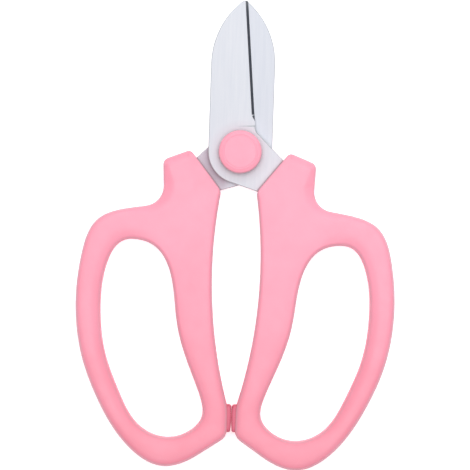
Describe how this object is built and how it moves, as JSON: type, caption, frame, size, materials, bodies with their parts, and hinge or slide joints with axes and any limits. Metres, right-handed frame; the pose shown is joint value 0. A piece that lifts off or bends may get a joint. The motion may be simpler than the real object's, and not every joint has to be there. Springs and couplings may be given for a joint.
{
  "type": "floral snips",
  "caption": "Hand snips for cut flowers: two short coated blades that turn on a capped bolt, with large closed finger loops that meet on stop pads.",
  "frame": {"origin": "on the pivot axis, at the surface that the tool lies on: the flat outer face of the rear cap", "axes": "+Z along the pivot axis towards the front cap, +Y along the closed blades towards their tips, +X to the right when the front blade is uppermost"},
  "size_m": [0.119, 0.1746, 0.013],
  "materials": {
    "blade": "satin white non-stick coating, bare ground steel along the cutting edge",
    "handle": "satin moulded plastic",
    "pad": "satin, slightly softer plastic",
    "cap": "satin moulded plastic",
    "bolt": "zinc plated",
    "spring": "bare spring steel",
    "washer": "smooth low-friction plastic",
    "collar": "natural nylon"
  },
  "bodies": {
    "left_half": {"rear_blade": "blade", "left_handle": "handle", "left_stop_pad": "pad", "pivot_bolt": "bolt", "pivot_nut": "bolt", "blade_washer": "washer", "spring_washer": "spring", "front_collar": "collar", "rear_collar": "collar", "front_cap": "cap", "rear_cap": "cap"},
    "right_half": {"front_blade": "blade", "right_handle": "handle", "right_stop_pad": "pad"}
  },
  "joints": [
    {"name": "blade_pivot", "type": "hinge", "parent": "left_half", "child": "right_half", "pos_m": [0, 0, 0.0065], "axis": [0, 0, 1], "range_deg": [0, 49]}
  ]
}
